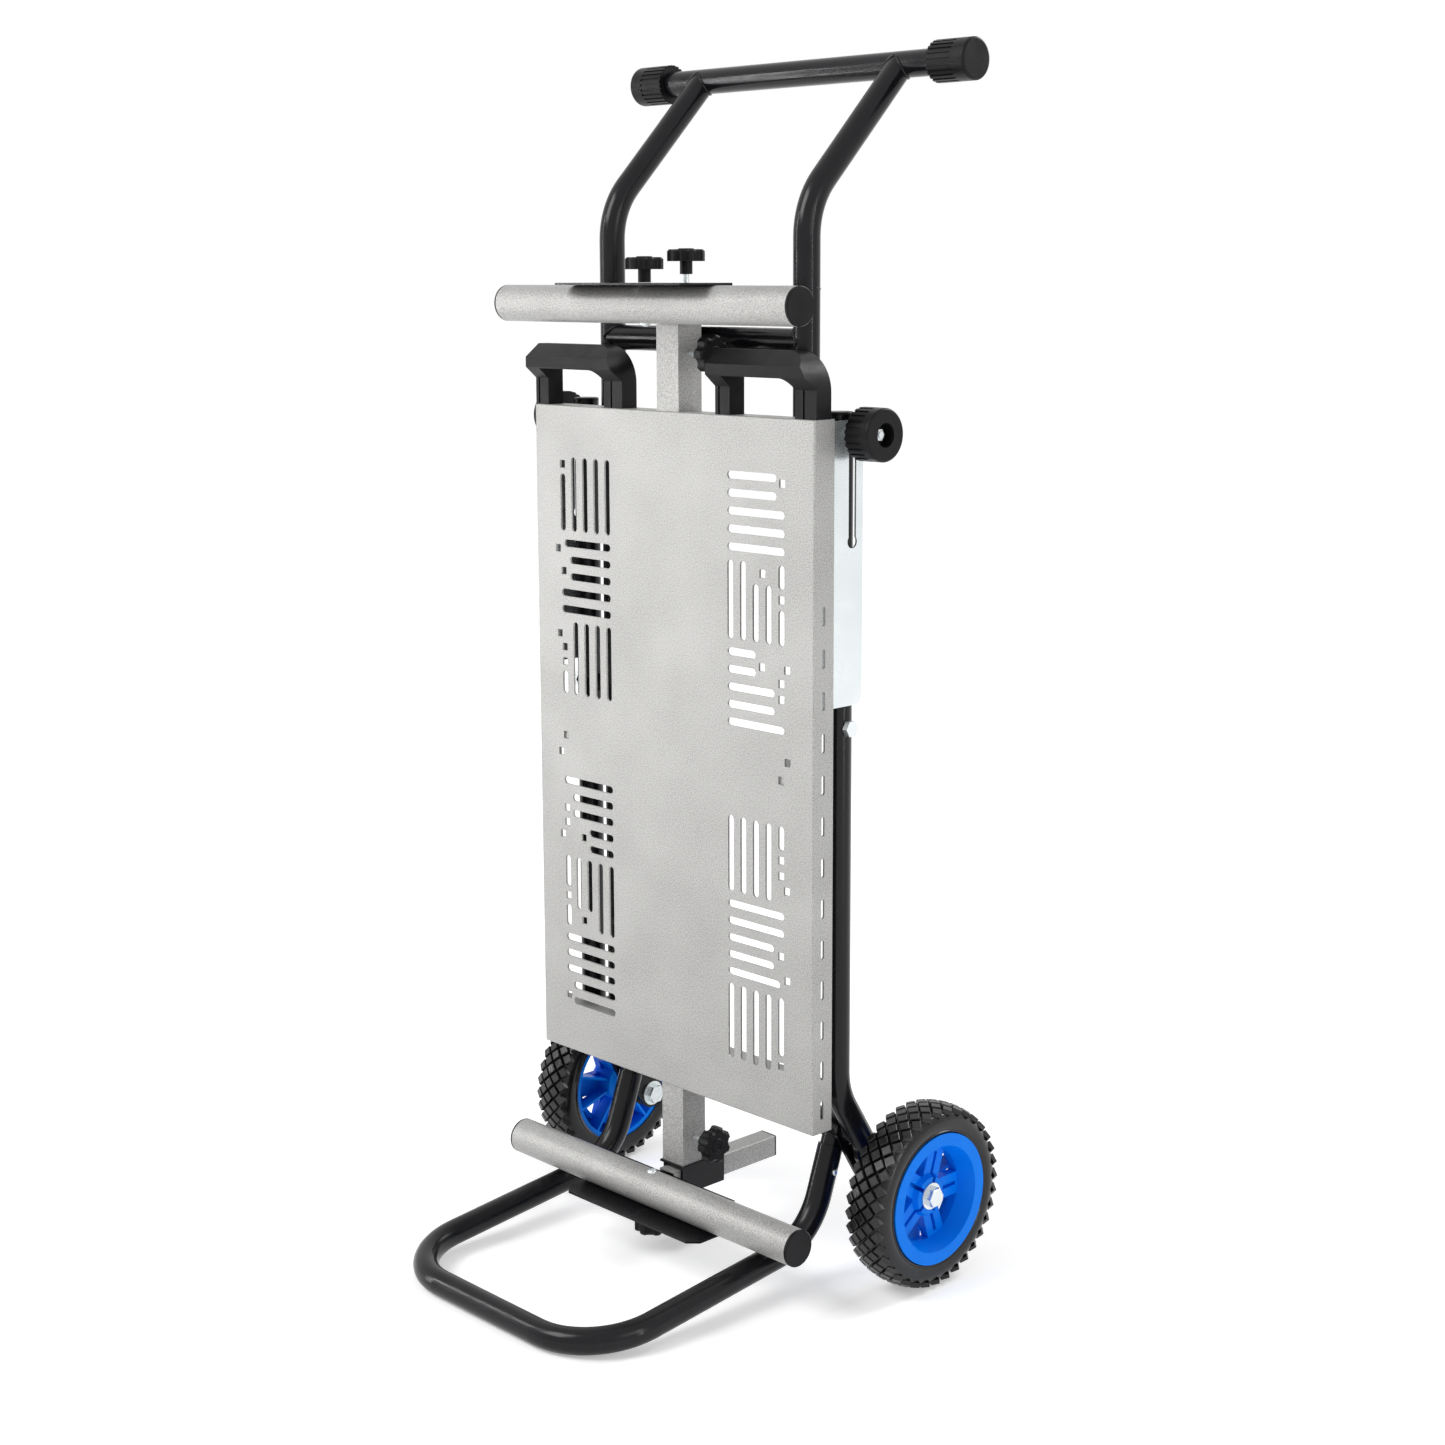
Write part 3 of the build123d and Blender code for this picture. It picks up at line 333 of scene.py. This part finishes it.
# %% Black moulded plastic
worn_black = (0.01, 0.01, 0.011, 1)
black_plastic = Finish("black_moulded_plastic", Specular_IOR_Level=0.14)
grain = black_plastic.noise(per_metre=2600, detail=1)
rub = black_plastic.noise(per_metre=60, detail=4)
black_plastic.mottle(rub, (deep_black, worn_black), roughness=(0.28, 0.42))
black_plastic.bumps(grain, 0.05 * mm)
black_plastic.report()

# %% [markdown]
# Bolts, nuts, washers and the side brackets are zinc plated: a bright metal with a cool tint and
# faint cloudy patches where the bath left the plate thicker.

# %% Zinc plate
cool_zinc, pale_zinc = (0.66, 0.71, 0.725, 1), (0.78, 0.82, 0.83, 1)
zinc = Finish("zinc_plate", Metallic=0.75)
patches = zinc.noise(per_metre=30, detail=3)
scratches = zinc.noise(per_metre=900, detail=2)
zinc.mottle(patches, (cool_zinc, pale_zinc), roughness=(0.2, 0.3))
zinc.bumps(scratches, 0.03 * mm)
zinc.report()

# %% [markdown]
# The rims are injection moulded in bright blue, with the even gloss of a polished mould. A slow
# cloud stands for the way the plastic flowed, and very fine noise for the mould's own surface.

# %% Blue moulded plastic
full_blue, bright_blue = (0, 0.16, 0.72, 1), (0, 0.2, 0.86, 1)
blue_plastic = Finish("blue_moulded_plastic", Specular_IOR_Level=0.08)
flow = blue_plastic.noise(per_metre=25, detail=3)
mould = blue_plastic.noise(per_metre=1400, detail=1)
blue_plastic.mottle(flow, (full_blue, bright_blue), roughness=(0.26, 0.38))
blue_plastic.bumps(mould, 0.02 * mm)
blue_plastic.report()

# %% [markdown]
# The tread is black rubber with a satin shine. Fine pores and a little dust keep it from looking
# like plastic. The sidewall left its mould smooth, so it is a finish of its own with more gloss and
# no pores.

# %% Tyre rubber
dusty_black = (0.014, 0.014, 0.014, 1)
rubber = Finish("tyre_rubber", Specular_IOR_Level=0.4)
pores = rubber.noise(per_metre=1900, detail=2)
dust = rubber.noise(per_metre=90, detail=4)
rubber.mottle(dust, (deep_black, dusty_black), roughness=(0.22, 0.4))
rubber.bumps(pores, 0.06 * mm)
rubber.report()

sidewall_rubber = Finish("sidewall_rubber", Specular_IOR_Level=0.34)
sheen = sidewall_rubber.noise(per_metre=70, detail=4)
sidewall_rubber.mottle(sheen, (deep_black, worn_black), roughness=(0.15, 0.28))
sidewall_rubber.report()

# %% [markdown]
# Each solid of the CAD model names the finish it was given there. The solids' own material slots
# are filled from that name, and nothing else of a solid is touched.

# %% Put the finishes on the CAD solids
finishes = {
    "grey_paint": grey_coat,
    "black_paint": black_coat,
    "black_plastic": black_plastic,
    "zinc": zinc,
    "blue_plastic": blue_plastic,
    "tyre": rubber,
}
for entry in frame["record"]["subparts"]:
    for slot in frame["nodes"][entry["node"]].material_slots:
        slot.material = finishes[entry["material_slot"]].material

# %% [markdown]
# New pieces all start as a bmesh, which is Blender's editable mesh in memory. This helper turns a
# finished bmesh into an object at the origin, gives it a finish and lets it ride on its body. Edges
# sharper than a given angle stay crisp, and all the rest is shaded smooth.

# %% A helper that makes a piece
merge_distance = 0.002 * mm


def piece(name, mesh, slot, body, crisp_angle, finish=None):
    """Turns a bmesh into a piece with a finish that rides on a body."""
    bmesh.ops.remove_doubles(mesh, verts=mesh.verts, dist=merge_distance)
    bmesh.ops.recalc_face_normals(mesh, faces=mesh.faces)
    for face in mesh.faces:
        face.smooth = True
    for edge in mesh.edges:
        if len(edge.link_faces) == 2 and edge.calc_face_angle(0) > math.radians(crisp_angle):
            edge.smooth = False
    data = bpy.data.meshes.new(name)
    mesh.to_mesh(data)
    mesh.free()
    made = bpy.data.objects.new(name, data)
    scene.collection.objects.link(made)
    data.materials.append((finish or finishes[slot]).material)
    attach(made, body)
    print(name, "has", len(data.polygons), "faces")
    return made


# %% [markdown]
# ## Tyres
#
# The real tyre has a smooth round shoulder and a tread of small diamonds in staggered rows. The
# first step is its sizes. They come from the boxes of the CAD tyre and rim, so that the new tyre
# fits where the plain one was. The tread's top is crowned: its radius falls with the square of
# the distance from the middle, times a factor per metre.

# %% Tyre sizes
def centre(node):
    """The middle of a node's box."""
    low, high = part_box(node)
    return (low + high) / 2


tyre_low, tyre_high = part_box("tyre_right")
rim_low, rim_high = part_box("rim_right")
tyre_radius = (tyre_high.z - tyre_low.z) / 2
half_width = (tyre_high.x - tyre_low.x) / 2
rim_radius = (rim_high.z - rim_low.z) / 2
block_height = 4.4 * mm
carcass_radius = tyre_radius - block_height
blocks_round = 36
block_rows = 5
row_pitch = 7.9 * mm
crown_per_metre = 9
print("the tyre's radius is", round(tyre_radius / mm, 1), "mm, and the rim's",
      round(rim_radius / mm, 1), "mm")

# %% [markdown]
# The carcass is half a section, mirrored and spun round the axle. The half is written in
# millimetres: first the sidewall, in from the tyre's side and up from the rim, and then the
# shoulder, in from the side and down from the foot of the tread.

# %% Carcass
sidewall = [(1.5, 0), (0.2, 2.5), (1, 3.2), (0.1, 6), (0, 10), (0.8, 14)]
shoulder = [(2.6, 3.4), (5.6, 1.2), (11, 0.3)]
carcass_steps = 96


def carcass(axle):
    """The tyre without its tread, as a bmesh round an axle's middle."""
    half = [(inset * mm - half_width, rim_radius + rise * mm) for inset, rise in sidewall]
    half += [(inset * mm - half_width, carcass_radius - drop * mm) for inset, drop in shoulder]
    section = half + [(0, carcass_radius)] + [(-x, radius) for x, radius in reversed(half)]
    mesh = bmesh.new()
    corners = [mesh.verts.new((axle.x + x, axle.y, axle.z + radius)) for x, radius in section]
    edges = [mesh.edges.new((a, b)) for a, b in zip(corners, corners[1:] + corners[:1])]
    bmesh.ops.spin(
        mesh, geom=corners + edges, cent=axle, axis=(1, 0, 0), angle=2 * math.pi,
        steps=carcass_steps, use_merge=True,
    )
    return mesh


# %% [markdown]
# A diamond of the tread is a circle of four corners, extruded to its height, drawn in at its top
# and bevelled there. Modelled blocks were chosen over a bump pattern because they break the tyre's
# outline, as they do in the photograph.

# %% One block of the tread
half_across = 7.1 * mm
half_round = 7.2 * mm
top_share = 0.84
block_bevel = 0.5 * mm


def tread_block():
    """One diamond block round the origin, with +Z as its height."""
    mesh = bmesh.new()
    bmesh.ops.create_circle(mesh, cap_ends=True, segments=4, radius=1)
    bmesh.ops.scale(mesh, vec=(half_across, half_round, 1), verts=mesh.verts)
    foot = mesh.faces[:]
    grown = bmesh.ops.extrude_face_region(mesh, geom=foot, use_keep_orig=True)["geom"]
    top = [item for item in grown if isinstance(item, bmesh.types.BMVert)]
    bmesh.ops.scale(mesh, vec=(top_share, top_share, 1), verts=top)
    bmesh.ops.translate(mesh, vec=(0, 0, block_height), verts=top)
    top_edges = [edge for edge in mesh.edges if all(vert in top for vert in edge.verts)]
    bmesh.ops.bevel(
        mesh, geom=top_edges, offset=block_bevel, segments=1, affect="EDGES", profile=0.5,
        material=-1,
    )
    data = bpy.data.meshes.new("tread_block")
    mesh.to_mesh(data)
    mesh.free()
    print("a block of the tread has", len(data.polygons), "faces")
    return data


block = tread_block()

# %% [markdown]
# Copies of the block are leaned to the crown, lifted to the carcass and turned round the axle.
# Every other row is shifted by half a block, which locks the diamonds into each other. The carcass
# and the tread stand for the plain CAD tyre, so that one is hidden.

# %% Both tyres


def tread(axle):
    """All the blocks of one tyre, as a bmesh."""
    mesh = bmesh.new()
    for row in range(block_rows):
        across = (row - (block_rows - 1) / 2) * row_pitch
        lift = carcass_radius - crown_per_metre * across ** 2
        lean = math.atan(2 * crown_per_metre * across)
        for step in range(blocks_round):
            turn = 2 * math.pi * (step + (row % 2) / 2) / blocks_round
            placed = block.copy()
            placed.transform(
                Matrix.Translation(axle)
                @ Matrix.Rotation(turn, 4, "X")
                @ Matrix.Translation((across, 0, lift))
                @ Matrix.Rotation(lean, 4, "Y")
            )
            mesh.from_mesh(placed)
            bpy.data.meshes.remove(placed)
    return mesh


for word in ("left", "right"):
    axle, body = centre(f"tyre_{word}"), f"{word}_wheel"
    plain = piece(f"tyre_carcass_{word}", carcass(axle), "tyre", body, 50, sidewall_rubber)
    piece(f"tyre_tread_{word}", tread(axle), "tyre", body, 25)
    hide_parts(f"tyre_{word}")

# %% [markdown]
# ## Welds, joints and small screws
#
# Where one tube meets another there is a weld: a thin bead on the line where the two round surfaces
# cut each other. The bead itself is a round tube through a loop of points. No operator sweeps a
# ring of changing thickness round a loop, so the rings and the faces between them are made by hand.

# %% A round bead through a loop of points
bead_sides = 8


def bead(points, thickness):
    """A closed round tube through a loop of points, with its own thickness at each point."""
    mesh = bmesh.new()
    hub = sum(points, Vector()) / len(points)
    rings = []
    for number, point in enumerate(points):
        along = (points[(number + 1) % len(points)] - points[number - 1]).normalized()
        out = along.cross((point - hub).cross(along).normalized())
        up = along.cross(out)
        turns = (2 * math.pi * side / bead_sides for side in range(bead_sides))
        rings.append([
            mesh.verts.new(point + thickness[number] * (math.cos(turn) * out + math.sin(turn) * up))
            for turn in turns
        ])
    for ring, after in zip(rings, rings[1:] + rings[:1]):
        for side in range(bead_sides):
            mesh.faces.new((ring[side], ring[side - 1], after[side - 1], after[side]))
    return mesh


# %% [markdown]
# The line of the weld is worked out point by point. From each place on the joining tube's rim, a
# ray along that tube leaves the other tube at one distance: the larger root of a quadratic. The
# bead's thickness ripples as it does behind a moving torch.

# %% A weld between two tubes
tube_radius = 12.5 * mm
weld_steps = 144
weld_radius = 1.45 * mm
weld_ripple = 0.22 * mm
ripples = 36


def weld(name, body, start, heading, axis, radius=tube_radius):
    """The bead round a tube that comes out of another tube, whose axis passes through the start."""
    heading, axis = heading.normalized(), axis.normalized()
    side = heading.cross(axis).normalized()
    up = heading.cross(side)
    slope = heading - heading.dot(axis) * axis
    points, thickness = [], []
    for step in range(weld_steps):
        turn = 2 * math.pi * step / weld_steps
        rim = radius * (math.cos(turn) * side + math.sin(turn) * up)
        offset = rim - rim.dot(axis) * axis
        a = slope.dot(slope)
        b = 2 * offset.dot(slope)
        c = offset.dot(offset) - tube_radius ** 2
        root = (-b + math.sqrt(max(0, b * b - 4 * a * c))) / (2 * a)
        points.append(start + rim + root * heading)
        thickness.append(weld_radius + weld_ripple * abs(math.sin(ripples / 2 * turn)))
    piece(name, bead(points, thickness), "black_paint", body, 60)


# %% [markdown]
# Both leg frames have two welds on each side. On the handle frame, a bent arm meets the bar and a
# long tube meets its cross tube. On the wheel frame, the cross tube meets the leg and carries one
# stub of the toe loop.

# %% Welds of both leg frames
handle_x = 0.133
leg_x = 0.175
stub_x = 0.145
leg_kink_height = 0.196
arm_kink_height = 1.024
handle_cross_height = 0.899
cross_share = 0.47
stub_radius = 10.5 * mm
toe_lean = math.radians(19.6)

frame_y = centre("handle_tubes").y
bar = centre("bar_caps")
kink = Vector((0, frame_y, leg_kink_height))
leg_run = centre("rim_right") - kink
leg_run.x = 0
crossing = kink + cross_share * leg_run
arm_run = Vector((0, frame_y - bar.y, arm_kink_height - bar.z))
toe_run = Vector((0, -math.sin(toe_lean), -math.cos(toe_lean)))
level, upright = Vector((1, 0, 0)), Vector((0, 0, 1))

for word, side in (("left", -1), ("right", 1)):
    inward = -side * level
    bar_joint = Vector((side * handle_x, bar.y, bar.z))
    cross_joint = Vector((side * handle_x, frame_y, handle_cross_height))
    leg_joint = crossing + side * leg_x * level
    stub_joint = crossing + side * stub_x * level
    weld(f"weld_bar_{word}", "handle_frame", bar_joint, arm_run, level)
    weld(f"weld_handle_cross_{word}", "handle_frame", cross_joint, inward, upright)
    weld(f"weld_leg_cross_{word}", "wheel_frame", leg_joint, inward, leg_run)
    weld(f"weld_stub_{word}", "wheel_frame", stub_joint, toe_run, level, stub_radius)

# %% [markdown]
# Small turned shapes come from one helper: it spins an open profile round any line. A profile is
# written in millimetres, as pairs of distance out and distance up. The first one is the thin lip
# where the handle's arms plug into the long tubes.

# %% Turned details, and the lips of the arms
arm_joint_height = 0.947
lip = [(12.4, -1.1), (12.9, -0.8), (13, 0), (12.9, 0.8), (12.4, 1.1), (12.4, -1.1)]


def turned(name, body, slot, place, axis, profile, steps=32):
    """Spins a profile round an axis through a place."""
    mesh = bmesh.new()
    corners = [mesh.verts.new((out * mm, 0, up * mm)) for out, up in profile]
    edges = [mesh.edges.new((a, b)) for a, b in zip(corners, corners[1:])]
    bmesh.ops.spin(
        mesh, geom=corners + edges, axis=(0, 0, 1), angle=2 * math.pi, steps=steps, use_merge=True
    )
    aim = Vector(axis).to_track_quat("Z", "Y").to_matrix().to_4x4()
    bmesh.ops.transform(mesh, matrix=Matrix.Translation(place) @ aim, verts=mesh.verts)
    piece(name, mesh, slot, body, 35)


for word, side in (("left", -1), ("right", 1)):
    place = (side * handle_x, frame_y, arm_joint_height)
    turned(f"arm_lip_{word}", "handle_frame", "black_paint", place, (0, 0, 1), lip, 48)

# %% [markdown]
# Each work support has a domed bolt head on its bar, opposite the bar's knob, and three star knobs
# with a flat moulded boss at the end. The upper support's knobs stand up and the lower one's hang
# down, apart from the one on the arm, which points to the right on both.

# %% Bolt heads and knob bosses
dome = [(0, 2.6), (2, 2.4), (3.8, 1.7), (4.9, 0.6), (5.1, 0), (5.1, -0.8), (0, -0.8)]
boss = [(0, 0.2), (3.4, 0.2), (4, 0.9), (7, 0.9), (7.8, 0.2), (8, -0.3), (0, -0.3)]

for word, up in (("upper", 1), ("lower", -1)):
    bar_low, bar_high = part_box(f"{word}_support_bar")
    bolt_end = (0, centre(f"{word}_support_bar").y, bar_low.z if up > 0 else bar_high.z)
    turned(f"{word}_bar_bolt_head", f"{word}_support", "zinc", bolt_end, (0, 0, -up), dome)
    for knob in (f"{word}_sleeve_knob", f"{word}_bar_knob"):
        knob_low, knob_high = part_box(knob)
        knob_end = (0, centre(knob).y, knob_high.z if up > 0 else knob_low.z)
        turned(f"{knob}_boss", knob, "black_plastic", knob_end, (0, 0, up), boss)
    knob = f"{word}_arm_knob"
    knob_end = (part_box(knob)[1].x, centre(knob).y, centre(knob).z)
    turned(f"{knob}_boss", knob, "black_plastic", knob_end, (1, 0, 0), boss)
